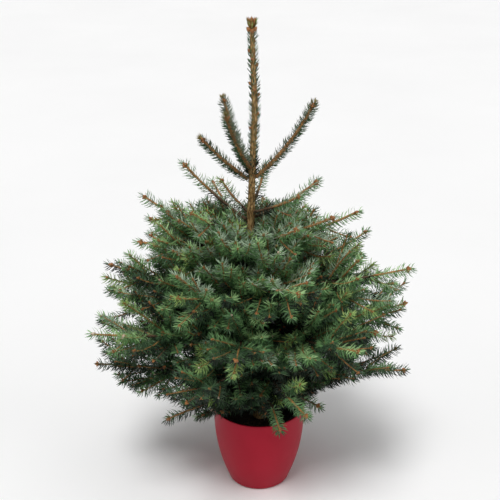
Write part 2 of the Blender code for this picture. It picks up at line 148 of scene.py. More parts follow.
# Finer twigs, carried on from the side shoots
CROWN_REACH = 0.10  # a twig ends this far from the nearest limb
BOX_CLEAR = 0.012
UNDER_LIMB = 0.06  # how far a twig may reach below the lowest point of its limb
TWIG_MIN = 0.056
TWIG_LOWEST = 0.10  # no whorl below this share of a shoot
TWIG_SHARE = 1.16  # a twig's growth as a share of the shoot's that it leaves
TWIG_SIDES = ((-8, 1.0), (188, 1.0), (88, 0.75))  # degrees round the shoot, and share of growth there
TWIG_VIGOUR = (0.75, 1.15)
TWIG_ROLL = 26
TWIG_CURL = 0.45  # share of its spread that is left at a finer twig's tip
TWIG_LIFT = ((0.45, 0.22), (0.70, 0.75))  # how much its tip turns upwards, by height
SINGLE_SIDES = (0, 180, 90, 0, 180, 270)  # degrees round the limb or shoot, in turn
SINGLE_SHARE = (0.95, 1.45)  # growth of the single twigs between two whorls
SINGLE_SPREAD = (34, 52)
SINGLE_END = 0.7  # none nearer to the tip than this share of a season
SINGLE_STEPS = (0.7, 1.3)  # the step from one to the next, against the mean step
SPARSE_TIERS = 2  # this many tiers at the top have no single twigs
LIMB_START = 0.015  # where single twigs start on a limb and on a shoot, and their mean steps
LIMB_STEP = 0.025
SHOOT_START = 0.02
SHOOT_STEP = 0.055
BETWEEN_LIMBS = 126  # short limbs that leave the trunk between the tiers
BETWEEN_HEIGHTS = (0.250, 0.745)
BETWEEN_CROWDING = 1.3  # more of them low down
BETWEEN_TURN = 0.3  # radians that one strays from its place round the trunk
BETWEEN_RISE = (6.0, 34.0)  # degrees above level, at the lowest and the highest
BETWEEN_TILT = 8.0
BETWEEN_LENGTH = (0.13, 0.27)
BETWEEN_GROWTH = 0.075
BETWEEN_AGE = 3
BETWEEN_ROOT = 0.7  # share of the trunk's radius at which it starts
TWIG_RING = 0.011
TUBE_SIDES = (7, 5, 4)  # of a limb, a side shoot and finer twigs
TUBE_RELIEF = 0.14
TIP_RADII = (0.0021, 0.0016, 0.0014)
RADIUS_GAIN = 0.0065  # a twig's radius grows by this share of the distance to its tip
MOST_RADII = (0.0055, 0.0034, 0.0026)
TOP_THICK = 1.6  # the top whorl's shoots are thicker than others of their length
UPPER_THICK = 1.3  # and so are the upper crown's

# Needles
NEEDLE_LENGTH = 0.0265
NEEDLE_LENGTHS = (0.82, 1.08)  # shares of that
NEEDLE_WIDTH = 0.0023
NEEDLE_WIDTHS = (0.85, 1.15)
NEEDLE_KNEE = 0.62  # a needle bends at this share of its length
NEEDLE_FOOT = 0.8  # and its foot has this share of its width
NEEDLE_STEP = 0.006
NEEDLES_AT_AGE = (1260, 960, 660, 310)  # needles a metre on twigs of this age in seasons
FEWEST_NEEDLES = 3
NEEDLE_ROLL = 0.25  # radians that one strays from its place round the twig
UPRIGHT = 0.05  # sine off the vertical below which a twig is upright to its needles
NEEDLE_SPREAD = (50.0, 66.0)  # degrees off the twig
NEEDLE_TIP_SPREAD = 26.0  # degrees off the twig round its end bud
NEEDLE_BEND = 20.0  # degrees that a needle bows forward
NEEDLE_BENDS = (0.6, 1.3)
TIP_REACH = 0.014  # needles this near to a twig's tip lean in and are shorter, by up to this share
TIP_SHORTER = 0.38
FOOT_REACH = 0.02  # and so are those this near to its foot
FOOT_SHORTER = 0.25
BALD_FROM = ((0.40, 0.84), (0.72, 0.68))  # a needle that points up more stands on top, by height
BALD_ABOVE = 0.84  # share of the needles there that are missing
TOP_LENGTH = 0.84  # length, number and width of the top whorl's needles, against those below
TOP_DENSE = 2.5
TOP_WIDE = 0.85
NEEDLE_FACES = ((0, 1, 2), (0, 2, 3), (3, 2, 4))
NEEDLE_CORNERS = 5
SHADE_CONE = 0.80  # cosine off the way outwards and up, within which foliage shades a twig
SHADE_RISE = 0.72  # that way rises by this times the twig's height
# The darker needles of shaded twigs are painted shade.
INNER_SHADE = 0.63  # twigs shaded more than this share of all have fewer, broader and darker needles
INNER_DENSE = 0.62
INNER_WIDE = 1.7
OUTER_SHADE = 0.34  # and those shaded less than this share have more
OUTER_DENSE = 1.2
UPPER_CROWN = 0.69  # above this height needles are bluer, and bark shows between them
UPPER_DENSE = 0.88
LOWER_CROWN = 0.48  # and below this one they are darker
# Spray colours by zone of height and shade: the pale light colour is painted light on exposed sprays, and
# the darker deep and dark colours are painted shade on shaded and low ones.
SPRAY_COLOURS = {  # share of the sprays up to which each colour is drawn
    "top whorl": (("grey", 1.00),),
    "upper": (("blue", 0.68), ("green", 0.74), ("light", 1.00)),
    "upper inner": (("blue", 0.50), ("green", 0.75), ("deep", 1.00)),
    "outer": (("blue", 0.07), ("green", 0.52), ("light", 0.74), ("deep", 1.00)),
    "middle": (("light", 0.28), ("green", 0.72), ("deep", 1.00)),
    "low outer": (("light", 0.06), ("green", 0.40), ("deep", 1.00)),
    "low middle": (("green", 0.25), ("deep", 1.00)),
    "inner": (("deep", 0.50), ("dark", 1.00)),
}
# Needles that point down are drawn in the next darker colour of this table, as painted shade on each
# spray's underside.
UNDERSIDE = -0.30  # needles that point down more than this are a step darker
PAINTED_SHADE_STEP = {"light": "green", "blue": "green", "green": "deep", "grey": "deep", "deep": "dark",
          "dark": "dark"}
FRESH_SHARE = 0.09  # share of the twigs with fresh needles towards the tip
FRESH_REACH = 0.055
TUFT_REACH = 0.011  # the top whorl's end buds stand in brownish tufts
SKIN_CLEAR = 0.002  # needles end this far from the pot and the soil
LIP_WIDTH = 0.006  # how far inside the nursery pot's edge the pots count as solid
PIECE_TRIANGLES = 196000

# Leader: colour, number of needles, lowest and highest foot, degrees off the trunk, length, flare
LEADER_NEEDLES = (
    ("deep", 430, 0.925, 1.245, 42.0, 0.0165, -0.10),
    ("blue", 60, 0.925, 1.245, 48.0, 0.0150, -0.20),
    ("dark", 130, 0.888, 0.932, 52.0, 0.0180, -0.20),
    ("deep", 70, 0.790, 0.900, 50.0, 0.0150, -0.25),
    ("tuft", 90, 1.252, 1.262, 24.0, 0.0225, 0.05),
    ("fresh", 14, 1.252, 1.262, 31.0, 0.0230, 0.05),
)
LEADER_SCATTER = (0.002, 0.2)  # how far a needle strays in height, and in radians round the leader
LEADER_LENGTHS = (0.8, 1.1)
LEADER_SPREAD = 7.0
LEADER_ROOT = 0.8  # share of the leader's radius at which a needle starts
LEADER_TOP = 1.268
LEADER_RADII = ((0.90, 0.0083), (0.95, 0.0076), (1.10, 0.0070), (1.21, 0.0060), (1.25, 0.0044),
                (LEADER_TOP, 0.0040))
LEADER_CLUSTER = 1.24  # the side buds above this height are the larger ones
LEADER_BUD_SIZES = (1.2, 0.9)  # of the larger ones and the others
LEADER_BUD = (0.0120, 0.0048)  # length and radius
LEADER_BUD_ROOT = 0.9
LEADER_BUD_LEAN = 0.85  # outwards against upwards
TIP_BUD_FOOT = 0.006  # the end bud starts this far under the leader's top
TIP_BUD_RADIUS = 0.0064
TIP_CLEAR = 0.0004
LEADER_SCALES = 8  # long scales that fan out round the leader's end bud
SCALE_FOOT = 0.012  # under the leader's top
SCALE_OUT = 0.002
SCALE_LEAN = 0.36
SCALE_SIZE = (0.0268, 0.0034)
LEADER_BUDS = ((1.2480, 200), (1.2450, 275), (1.2490, 335), (1.1990, 190), (1.1800, 262), (1.1660, 345),
               (1.1200, 188), (1.1070, 275), (1.0930, 350), (1.0480, 318), (1.1500, 90), (1.0700, 120),
               (1.2200, 60), (1.0100, 205))  # height and compass of each side bud

# Buds: length and radius at size 1, and the egg's outline as height and width
BUD_LENGTH = 0.0095
BUD_RADIUS = 0.0037
BUD_SIZES = (1.25, 0.88, 0.60)  # on a limb, a side shoot and finer twigs
TOP_BUDS = 1.30  # and this much larger on the top whorl
PALE_BUDS = 0.035  # share of the end buds that are coated with resin
BUD_PROFILE = ((0.12, 0.72), (0.38, 1.0), (0.68, 0.72))
BUD_CORNERS = 6
BUD_VARIETY = (0.85, 1.15)
BUD_SUNK = 0.6  # a twig ends this share of a bud's length before its tip
SIDE_BUDS_ON_LIMB = (3, 6)  # how many side buds there are: the first number up to one below the second
SIDE_BUDS = (1, 4)
SIDE_BUD_LEAN = (0.8, 1.3)
SIDE_BUD_SIZE = (0.65, 0.90)
SIDE_BUD_DROP = 0.003
SIDE_BUD_ROOT = 0.5
SIDE_BUD_TURN = 0.5
SIDE_BUD_CORNERS = 4

# Directions that no twig follows, to find others square to it
FRAME_GUIDE = (0.31, 0.17, 0.93)
BUD_GUIDE = (0.21, 0.33, 0.92)

# Bark
TRUNK_CORNERS = 40
TRUNK_RING = 0.0028
BARK_OLD = 0.45  # below this height the bark has scales, and above the next one diamond ridges
BARK_YOUNG = 0.70
RIDGES = ((2.5, 190.0), (4.0, -118.0))  # two sets that cross: waves round and along the trunk
RIDGE_RISE = 0.0011
RIDGE_MIDDLE = 0.35  # ridges rise above it, and furrows lie below
SCALE_RISE = 0.0007
SCALE_WAVES = 14
SCALE_AROUND = (1, 9)  # waves round the trunk: the first number up to one below the second
SCALE_RATES = (210.0, 700.0)  # radians a metre along it
SCALE_LOWEST = -0.6
WHORL_SWELL = 0.0016
WHORL_REACH = 0.35  # share of the tier's spread
RING_SCARS = (0.918, 0.722, 0.612)
RING_SWELL = 0.0017
RING_APART = 0.0035
RING_WIDTH = 0.0013

# Pots and soil
POT_CORNERS = 128
POT_FOOT_RADIUS = 0.081
POT_SWELL = 2.4
POT_WALL = 0.004
POT_FLOOR = 0.005
POT_EDGE = 0.010
POT_HOLLOW = 0.0012  # height of the hollow underside, and where it starts and ends inside the foot
POT_STAND = (0.006, 0.004)
SIDE_STEPS = 36
INNER_STEP = 3  # the inner wall has one ring to this many of the outer wall
ARC_STEPS = 9
RIM_ARC = (10.0, 170.0)  # degrees from outwards to upwards
FOOT_ARC = (-90.0, -12.0)
AXIS_GAP = 0.002  # turned floors end this near to their axis
NURSERY_WALL = 0.0015
NURSERY_FOOT_RADIUS = 0.0700
NURSERY_RADIUS = 0.113
NURSERY_LIP_DEPTH = 0.010
NURSERY_STEPS = (12, 24)  # rings of the outer and the inner wall
LIP_ROLL = 0.0020
LIP_CHAMFER = (0.0006, 0.0008)
LIP_INNER = (0.0041, 0.0030)  # from the lip's edge inwards, and from its top down
RIB_DEPTH = 0.0004
RIB_RATE = 900.0
SOIL_GRID = (46, 128)  # rings and corners
SOIL_INSET = 0.0012
SOIL_CENTRE = 0.004  # share of the radius at which the rings start
SOIL_EDGE_DROP = 0.004
SOIL_MEAN_DROP = 0.002
SOIL_DEPTH = 0.02
SOIL_WAVES = 40
SOIL_RATES = (120.0, 900.0)  # radians a metre
SOIL_PHASE = 6.28  # radians up to which a wave is shifted
SOIL_BUMP = 0.0009
SOIL_BUMP_LIMITS = (-0.003, 0.0018)
SOIL_CHIPS = 420
CHIP_REACH = 0.96  # chips lie within this share of the soil's radius
CHIP_NEAREST = 0.03  # but not on this share of that disc's area, round the trunk
CHIP_SIZES = (0.0012, 0.0042)
CHIP_SHAPE = (2.4, 0.7)  # length and radius against its size
CHIP_SINK = 0.0012
CHIP_TILT = 0.25
CHIP_CORNERS = 5

# Materials: name, dark and pale sRGB colour, spots a metre and roughness, then where it has them the
# bump's fineness, strength and depth, the specular level and the pattern's detail
LOOKS = {
    "blue": ("needles_blue", (118, 145, 120), (186, 206, 176), 30.0, 0.50),
    "green": ("needles_green", (68, 108, 65), (118, 160, 100), 30.0, 0.48),
    # light: a paler copy of the green, drawn on exposed sprays as painted light
    "light": ("needles_light", (116, 158, 100), (174, 210, 146), 30.0, 0.46),
    "grey": ("needles_grey", (70, 86, 68), (132, 146, 122), 30.0, 0.52),
    # deep: a darker copy of the green, drawn on shaded sprays and needle undersides as painted shade, and
    # on the leader
    "deep": ("needles_deep", (39, 67, 43), (76, 110, 70), 30.0, 0.52),
    "fresh": ("needles_fresh", (112, 144, 80), (164, 192, 112), 40.0, 0.50),
    "tuft": ("needles_tuft", (92, 84, 36), (150, 132, 58), 60.0, 0.55),
    # dark: near-black needles of older seasons and shaded inner twigs, partly their own darker green and
    # partly painted shade
    "dark": ("needles_dark", (16, 30, 20), (34, 52, 34), 26.0, 0.58),
    "twig_new": ("twig_new", (130, 91, 50), (180, 130, 76), 90.0, 0.60, (900.0, 0.5, 0.0008)),
    # old bark, also drawn on shaded twigs' newest seasons as painted shade
    "twig_old_and_shaded": ("twig_old_and_shaded", (68, 51, 36), (112, 87, 62), 70.0, 0.75, (600.0, 0.7, 0.0010)),
    "buds": ("bud_scales", (122, 80, 44), (176, 118, 66), 260.0, 0.55, (900.0, 0.6, 0.0008)),
    "buds_pale": ("bud_resin", (188, 150, 122), (230, 214, 200), 200.0, 0.40, (700.0, 0.4, 0.0006)),
    "pot": ("pot_red", (159, 20, 41), (167, 24, 46), 9.0, 0.38, (1300.0, 0.12, 0.0003), 0.13),
    "nursery_pot": ("nursery_black", (10, 11, 11), (19, 20, 20), 22.0, 0.18, (500.0, 0.10, 0.0004), 0.6),
    "soil": ("soil", (30, 21, 15), (74, 54, 38), 180.0, 0.92, (700.0, 1.0, 0.0020), 0.3, 8.0),
    "floor": ("floor_pale", (250, 250, 250), (253, 253, 253), 0.8, 0.85, None, 0.2),
}
MOTTLE = (0.32, 0.68)  # where the pattern reaches its dark and its pale colour
ROUGHNESS_SWING = 0.06
BARK_DRAWN_OUT = (1.0, 1.0, 0.30)  # the pattern's scale by axis, low where it is drawn out
BARK_PLATES = 190.0  # about so many plates a metre across
BARK_PLATE_SHARE = 0.9  # how much a plate's middle stands up against the noise
BARK_NOISE = 150.0
BARK_RELIEF = 0.0012
BARK_ROUGHNESS = 0.80
BARK_SPECULAR = 0.3
BARK_STOPS = ((0.34, (38, 27, 17)), (0.54, (138, 107, 65)), (0.82, (196, 162, 110)))

# Floor and light
FLOOR_SIZE = 120.0
WORLD_STRENGTH = 0.20
LIGHTS = (  # name, compass and height that it comes from in degrees, strength, softness in degrees
    ("key_light", 250, 64, 1.87, 22),
    ("top_light", 330, 80, 0.55, 50),
    ("left_light", 205, 25, 0.24, 45),
    ("right_light", 335, 25, 0.46, 45),
)

# Camera, fitted to the pot's rim, side and foot and to the trunk
CAMERA_PLACE = (-0.025, -2.30, 1.668)
CAMERA_PITCH = 23.07  # degrees below level
CAMERA_FOCAL = 969.6  # in pixels of the photograph, which is 500 pixels wide
PHOTO_WIDTH = 500.0
SENSOR_WIDTH = 36.0


def unit(vector):
    return vector / np.linalg.norm(vector)


def units(vectors):
    return vectors / np.maximum(np.linalg.norm(vectors, axis=-1, keepdims=True), 1e-12)


def compass_way(angle):
    """Level direction at an angle round the Z axis."""
    return np.array((math.cos(angle), math.sin(angle), 0.0))


def towards(first, second, angle):
    """Direction at an angle from one direction towards another that is square to it."""
    return first * np.cos(angle) + second * np.sin(angle)


def from_table(table, place):
    """Value at a place, read between those of a table of places and values."""
    return np.interp(place, *zip(*table))


def linear(red, green, blue):
    """Linear colour of an sRGB colour given as 0 to 255."""
    shares = (red / 255.0, green / 255.0, blue / 255.0)
    made = [share / 12.92 if share <= 0.04045 else ((share + 0.055) / 1.055) ** 2.4 for share in shares]
    return (*made, 1.0)


# The tree's skeleton


def trunk_centre(height):
    """Point on the trunk's middle line at a height, or a row of points at many."""
    return np.stack([from_table(TRUNK_LINE, height), 0.0 * height, height], -1)


def trunk_radius(height):
    return from_table(TRUNK_RADII, height)


def foot_radius(tier, limb):
    if tier.bare > 0.0:
        return BOUGH_FOOT_RADIUS
    return STEM_RADIUS if limb.length > THIN_STEM_LENGTH else THIN_STEM_RADIUS


def foot_reach(height, out, rise, radius):
    """Distance from the trunk's middle line to a limb's foot."""
    reach = 0.0
    for side in (-1.0, 1.0):
        edge = height + side * radius * math.cos(rise)
        lean = (trunk_centre(edge) - trunk_centre(height)) @ out
        reach = max(reach, trunk_radius(edge) + lean + side * radius * math.sin(rise))
    return reach + GAP


def limb_path(rank, number):
    """Points along a limb's middle line, from the trunk's surface to the limb's tip."""
    tier = TIERS[rank - 1]
    limb = tier.limbs[number]
    sway = random.Random(SEED + 1000 * rank + number).uniform(-SWAY, SWAY)
    height = tier.height + tier.spread * ((number * WHORL_STEP) % 1.0 - 0.5)
    compass = math.radians(limb.compass)
    rise = math.radians(tier.rise_foot + limb.lift)
    out = compass_way(compass)
    points = [trunk_centre(height) + out * foot_reach(height, out, rise, foot_radius(tier, limb))]
    gain = tier.rise_tip - tier.rise_foot + limb.bow
    for step in range(PATH_STEPS):
        share = (step + 0.5) / PATH_STEPS
        slope = math.radians(tier.rise_foot + limb.lift + gain * share)
        turn = compass + math.radians(sway * math.sin(FULL_TURN * share))
        heading = towards(compass_way(turn), UP, slope)
        points.append(points[-1] + heading * limb.length / PATH_STEPS)
    return np.array(points)


def on_path(path, share):
    """Point and heading at a share of a path's length."""
    place_on = min(max(share, 0.0), 1.0) * (len(path) - 1)
    first = min(int(place_on), len(path) - 2)
    step = path[first + 1] - path[first]
    return path[first] + step * (place_on - first), unit(step)


def distance(points, line):
    """Distance from each point to a line of joined segments."""
    starts = line[:-1]
    steps = line[1:] - starts
    shares = ((points[:, None] - starts) * steps).sum(2) / (steps * steps).sum(1)
    feet = starts + shares.clip(0.0, 1.0)[..., None] * steps
    return np.linalg.norm(points[:, None] - feet, axis=2).min(1)


def in_outline(points):
    """Which points lie in the crown's outline, the low front and high back ones as high as they look."""
    heights = points[:, 2]
    in_front = points[:, 1] < 0.0
    low, high = ((heights - first) / (second - first) for first, second in (SIGHT_FRONT, SIGHT_BACK))
    share = np.where(in_front, low, high).clip(0.0, 1.0)
    seen = heights + SIGHT_SLOPE * share * points[:, 1]
    centres = from_table(TRUNK_LINE, heights) + from_table(CROWN_LEAN, seen)
    flatness = np.where(in_front, from_table(FRONT_FLATNESS, heights), CROWN_FLATNESS)
    reach = np.hypot(points[:, 0] - centres, points[:, 1] / flatness)
    return reach < from_table(CROWN_LINE, seen)


def free(points, own, lines, lowest):
    """Which points a twig may grow through: near a limb and clear of other limbs, trunk and pot."""
    mine = distance(points, lines[own]) if own in lines else np.full(len(points), np.inf)
    others = np.min([distance(points, line) for key, line in lines.items() if key != own], axis=0)
    heights = points[:, 2]
    from_centre = points[:, 0] - from_table(TRUNK_LINE, heights)
    from_trunk = np.hypot(from_centre, points[:, 1]) - trunk_radius(heights)
    from_axis = np.hypot(points[:, 0], points[:, 1])
    off_pot = (heights > POT_HEIGHT + RIM_CLEAR) | (from_axis > POT_RADIUS + RIM_CLEAR)
    in_box = ((points > CAD_LOW + BOX_CLEAR) & (points < CAD_HIGH - BOX_CLEAR)).all(1)
    in_reach = np.minimum(mine, others) < CROWN_REACH
    opening = heights > OPENING_LOW - OPENING_RISE * points[:, 1]
    in_view = opening & (points[:, 1] < 0.0) & (np.abs(from_centre) < OPENING_HALF_WIDTH)
    inner = in_box & in_reach & in_outline(points) & off_pot & ~in_view
    return inner & (heights > lowest) & (others > LIMB_CLEAR) & (from_trunk > TRUNK_CLEAR)


def length_of(path):
    return np.linalg.norm(np.diff(path, axis=0), axis=1).sum()


def bowed(foot, heading, out, spread, length, curl=SHOOT_CURL, lift=0.0):
    """Path that leaves a limb at an angle and bows towards the limb's own heading."""
    points = [foot]
    for step in range(SHOOT_STEPS):
        share = (step + 0.5) / SHOOT_STEPS
        angle = spread * (1.0 + (curl - 1.0) * share)
        ahead = unit(towards(heading, out, angle) + UP * lift * share)
        points.append(points[-1] + ahead * length / SHOOT_STEPS)
    return np.array(points)


# A twig: its path, its seasons' lengths from the newest on, its order, and its limb's tier and number
Twig = namedtuple("Twig", "path seasons order key")


def kept_part(path, length, key, lines, shortest):
    """The stretch of a path up to where it would leave the crown or touch something, or None."""
    carrier = lines.get(key, path[:1])
    inner = free(path[2:], key, lines, carrier[:, 2].min() - UNDER_LIMB)
    kept = 2 + (len(inner) if inner.all() else int(np.argmin(inner)))
    return path[:kept] if (kept - 1) * length / SHOOT_STEPS >= shortest else None


def sides_of(path, share):
    """Point, heading, sideways and upward direction on a path."""
    foot, heading = on_path(path, share)
    across = np.cross(UP, heading)
    across = unit(across) if np.linalg.norm(across) > 1e-6 else SIDEWAYS
    return foot, heading, across, np.cross(heading, across)


def side_shoots(path, tier, key, lines):
    """The side shoots that the solids have too, drawn in the same order."""
    length = length_of(path)
    rng = random.Random(SEED + 100 * key[0] + key[1])
    shoots = []
    for season in range(1, int(length / tier.growth) + 1):
        share = 1.0 - season * tier.growth / length
        if share < INNERMOST:
            break
        foot, heading, across, upward = sides_of(path, share)
        for side in SHOOT_SIDES[season % 2]:
            roll = math.radians(side + rng.uniform(-SHOOT_ROLL, SHOOT_ROLL))
            spread = math.radians(rng.uniform(*SHOOT_SPREAD))
            older = tier.side + SHOOT_OLDER * (season - 1)
            growth = tier.growth * older * rng.uniform(*SHOOT_VIGOUR)
            shoot = bowed(foot, heading, towards(across, upward, roll), spread, growth)
            kept = kept_part(shoot, growth, key, lines, SHOOT_MIN)
            if kept is not None:
                newest = min(tier.growth * tier.side, length_of(kept))
                seasons = [newest] + [tier.growth * SHOOT_OLDER] * (season - 1)
                shoots.append(Twig(kept, seasons, 1, key))
    return shoots


def twig_from(parent, share, side, spread, growth, ages, lines):
    """List of the twig that leaves a place on another one, or an empty list where it has no room."""
    foot, heading, across, upward = sides_of(parent.path, share)
    out = towards(across, upward, math.radians(side))
    length = growth * (1.0 + SHOOT_OLDER * ages)
    lift = from_table(TWIG_LIFT, foot[2])
    path = bowed(foot, heading, out, math.radians(spread), length, TWIG_CURL, lift)
    kept = kept_part(path, length, parent.key, lines, TWIG_MIN)
    if kept is None:
        return []
    seasons = [min(growth, length_of(kept))] + [growth * SHOOT_OLDER] * ages
    return [Twig(kept, seasons, parent.order + 1, parent.key)]


def whorl_twigs(parent, growth, lines, rng):
    """Twigs that leave a shoot where each of its seasons ends."""
    length = length_of(parent.path)
    reached = 0.0
    for age, season in enumerate(parent.seasons):
        reached += season
        share = 1.0 - reached / length
        if share < TWIG_LOWEST:
            break
        for side, upright in TWIG_SIDES:
            vigour = TWIG_SHARE * rng.uniform(*TWIG_VIGOUR) * upright
            turned_by = side + rng.uniform(-TWIG_ROLL, TWIG_ROLL)
            spread = rng.uniform(*SINGLE_SPREAD)
            yield from twig_from(parent, share, turned_by, spread, growth * vigour, age, lines)


def single_twigs(parent, growth, start, step, lines, rng):
    """Single twigs between the whorls of a limb or shoot, most of them at its sides."""
    length = length_of(parent.path)
    place = start + step * rng.random()
    number = rng.randrange(len(SINGLE_SIDES))
    while place < length - SINGLE_END * growth:
        vigour = rng.uniform(*SINGLE_SHARE)
        side = SINGLE_SIDES[number % len(SINGLE_SIDES)] + rng.uniform(-TWIG_ROLL, TWIG_ROLL)
        spread = rng.uniform(*SINGLE_SPREAD)
        yield from twig_from(parent, place / length, side, spread, growth * vigour, 0, lines)
        place += step * rng.uniform(*SINGLE_STEPS)
        number += 1


def trunk_twigs(lines, rng):
    """Short limbs between the whorls, straight from the trunk."""
    twigs = []
    for number in range(BETWEEN_LIMBS):
        share = ((number + rng.random()) / BETWEEN_LIMBS) ** BETWEEN_CROWDING
        height = np.interp(share, (0.0, 1.0), BETWEEN_HEIGHTS)
        out = compass_way(number * GOLDEN + rng.uniform(-BETWEEN_TURN, BETWEEN_TURN))
        tilt = rng.uniform(-BETWEEN_TILT, BETWEEN_TILT)
        rise = math.radians(np.interp(share, (0.0, 1.0), BETWEEN_RISE) + tilt)
        foot = trunk_centre(height) + out * (trunk_radius(height) + TRUNK_CLEAR)
        length = rng.uniform(*BETWEEN_LENGTH)
        path = bowed(foot, UP, out, math.pi / 2.0 - rise, length)
        kept = kept_part(path, length, (0, number), lines, SHOOT_MIN)
        if kept is not None:
            root = trunk_centre(height) + out * trunk_radius(height) * BETWEEN_ROOT
            twigs.append(Twig(np.vstack([root, kept]), [BETWEEN_GROWTH] * BETWEEN_AGE, 1, (0, number)))
    return twigs


def grow():
    """Every twig of the tree, limbs included."""
    lines = {(rank, number): limb_path(rank, number)
             for rank, tier in enumerate(TIERS, 1) for number in range(len(tier.limbs))}
    twigs = []
    for key, path in lines.items():
        tier = TIERS[key[0] - 1]
        rng = random.Random(SEED + 5000 + 100 * key[0] + key[1])
        limb = Twig(path, [tier.growth] * (int(length_of(path) / tier.growth) + 1), 0, key)
        twigs.append(limb)
        if tier.side == 0.0:
            continue
        growth = tier.growth * tier.side
        shoots = side_shoots(path, tier, key, lines)
        if key[0] > SPARSE_TIERS:
            start = tier.bare * length_of(path) + LIMB_START
            shoots += single_twigs(limb, growth, start, LIMB_STEP, lines, rng)
        for shoot in shoots:
            finer = list(whorl_twigs(shoot, growth, lines, rng))
            if len(shoot.seasons) > 1:
                finer += single_twigs(shoot, growth, SHOOT_START, SHOOT_STEP, lines, rng)
            for twig in finer:
                twigs += whorl_twigs(twig, growth * TWIG_SHARE, lines, rng)
            twigs += finer
        twigs += shoots
    rng = random.Random(SEED + 4000)
    for limb in trunk_twigs(lines, rng):
        twigs.append(limb)
        twigs += whorl_twigs(limb, BETWEEN_GROWTH, lines, rng)
        twigs += single_twigs(limb, BETWEEN_GROWTH, SHOOT_START, LIMB_STEP, lines, rng)
    return twigs


# Meshes from arrays


def mesh_of(name, points, triangles, smooth=True):
    """Mesh of the given points and triangles."""
    mesh = bpy.data.meshes.new(name)
    mesh.vertices.add(len(points))
    mesh.vertices.foreach_set("co", np.asarray(points, np.float32).ravel())
    mesh.loops.add(3 * len(triangles))
    mesh.loops.foreach_set("vertex_index", np.asarray(triangles, np.int32).ravel())
    mesh.polygons.add(len(triangles))
    mesh.polygons.foreach_set("loop_start", np.arange(0, 3 * len(triangles), 3, dtype=np.int32))
    mesh.polygons.foreach_set("use_smooth", np.full(len(triangles), smooth))
    mesh.update(calc_edges=True)
    return mesh


def placed(name, data):
    """New object in the scene."""
    made = bpy.data.objects.new(name, data)
    bpy.context.scene.collection.objects.link(made)
    return made


def piece_of(mesh, kind, slot_name, *nodes):
    """Piece on the root body, with its material and the CAD nodes that it stands for."""
    mesh.materials.append(MATERIALS[kind])
    piece = placed(mesh.name, mesh)
    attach(piece, BODY)
    if nodes:
        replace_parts(piece, *nodes)
    return piece


def joined(parts):
    """One pair of arrays from many pairs of points and triangles."""
    points = np.concatenate([part[0] for part in parts])
    counts = np.cumsum([0] + [len(part[0]) for part in parts[:-1]])
    triangles = np.concatenate([part[1] + start for part, start in zip(parts, counts)])
    return points, triangles


def fan(centre, start, sides):
    """Triangles between one point and the ring that starts at another."""
    here = start + np.arange(sides)
    return np.stack([np.full(sides, centre), here, np.roll(here, -1)], -1)


def bands(low, high, sides):
    """Triangles between rings of points, from those that start at low to those that start at high."""
    here = np.arange(sides)
    after = np.roll(here, -1)
    one = np.stack([low + here, low + after, high + after], -1)
    two = np.stack([low + here, high + after, high + here], -1)
    return np.concatenate([one.reshape(-1, 3), two.reshape(-1, 3)])


def closed(rings, sides):
    """Triangles of a body of rings, closed by the foot and the tip that follow them."""
    starts = np.arange(rings)[:, None] * sides
    foot = fan(rings * sides, 0, sides)[:, ::-1]
    tip = fan(rings * sides + 1, (rings - 1) * sides, sides)
    return np.vstack([bands(starts[:-1], starts[1:], sides), foot, tip])


def frames_along(path):
    """Two directions across a path at each of its points, carried along it without twist."""
    headings = units(np.gradient(path, axis=0))
    guide = np.cross(headings[0], FRAME_GUIDE)
    across = []
    for heading in headings:
        guide = unit(guide - heading * (guide @ heading))
        across.append(guide)
    return np.array(across), np.cross(headings, across)


def read_at(places, known, points):
    """Points read off at some places along a line from those at known places."""
    return np.stack([np.interp(places, known, points[:, axis]) for axis in range(3)], -1)


def tube(path, radii, relief):
    """Closed tube round a path. relief scales the radius at each ring and corner."""
    rings, sides = relief.shape
    across, other = frames_along(path)
    angles = np.arange(sides)[:, None] * (FULL_TURN / sides)
    out = towards(across[:, None], other[:, None], angles)
    points = path[:, None] + out * (radii[:, None] * relief)[..., None]
    return np.vstack([points.reshape(-1, 3), path[0], path[-1]]), closed(rings, sides)


def resampled(path, step):
    """A path's points at even steps, and how far each is from its foot."""
    lengths = np.concatenate([[0.0], np.cumsum(np.linalg.norm(np.diff(path, axis=0), axis=1))])
    count = max(3, int(round(lengths[-1] / step)) + 1)
    places = np.linspace(0.0, lengths[-1], count)
    return read_at(places, lengths, path), places


# Needles


def blades(rows, rng):
    """Points and triangles of one colour's needles, each a pointed blade that bows once. A row has where
    its needles start, the two directions that they bow between, their lengths and their widths."""
    bases, starts, ends, lengths, widths = (np.concatenate(column) for column in zip(*rows))
    highs = bases + starts * (lengths * NEEDLE_KNEE)[:, None]
    tips = highs + ends * (lengths * (1.0 - NEEDLE_KNEE))[:, None]
    kept = inside(highs) & inside(tips)
    flat = np.cross(starts, rng.normal(0.0, 1.0, starts.shape))
    flat = (units(flat) * (widths / 2.0)[:, None])[kept]
    bases, highs, tips = bases[kept], highs[kept], tips[kept]
    foot = flat * NEEDLE_FOOT
    points = np.stack((bases - foot, bases + foot, highs + flat, highs - flat, tips), 1).reshape(-1, 3)
    starts_at = np.arange(len(bases))[:, None, None] * NEEDLE_CORNERS
    return points, (np.array(NEEDLE_FACES)[None] + starts_at).reshape(-1, 3)


def inside(points):
    """Which points lie in the CAD box and clear of the pot's wall and the soil."""
    in_box = ((points > CAD_LOW) & (points < CAD_HIGH)).all(1)
    from_axis = np.hypot(points[:, 0], points[:, 1])
    in_wall = (from_axis < POT_RADIUS + SKIN_CLEAR) & (from_axis > NURSERY_HIGH.x - LIP_WIDTH)
    in_pot = (points[:, 2] < POT_HEIGHT + SKIN_CLEAR) & in_wall
    in_soil = (points[:, 2] < SOIL_TOP + SKIN_CLEAR) & (from_axis < SOIL_RADIUS)
    return in_box & ~in_pot & ~in_soil


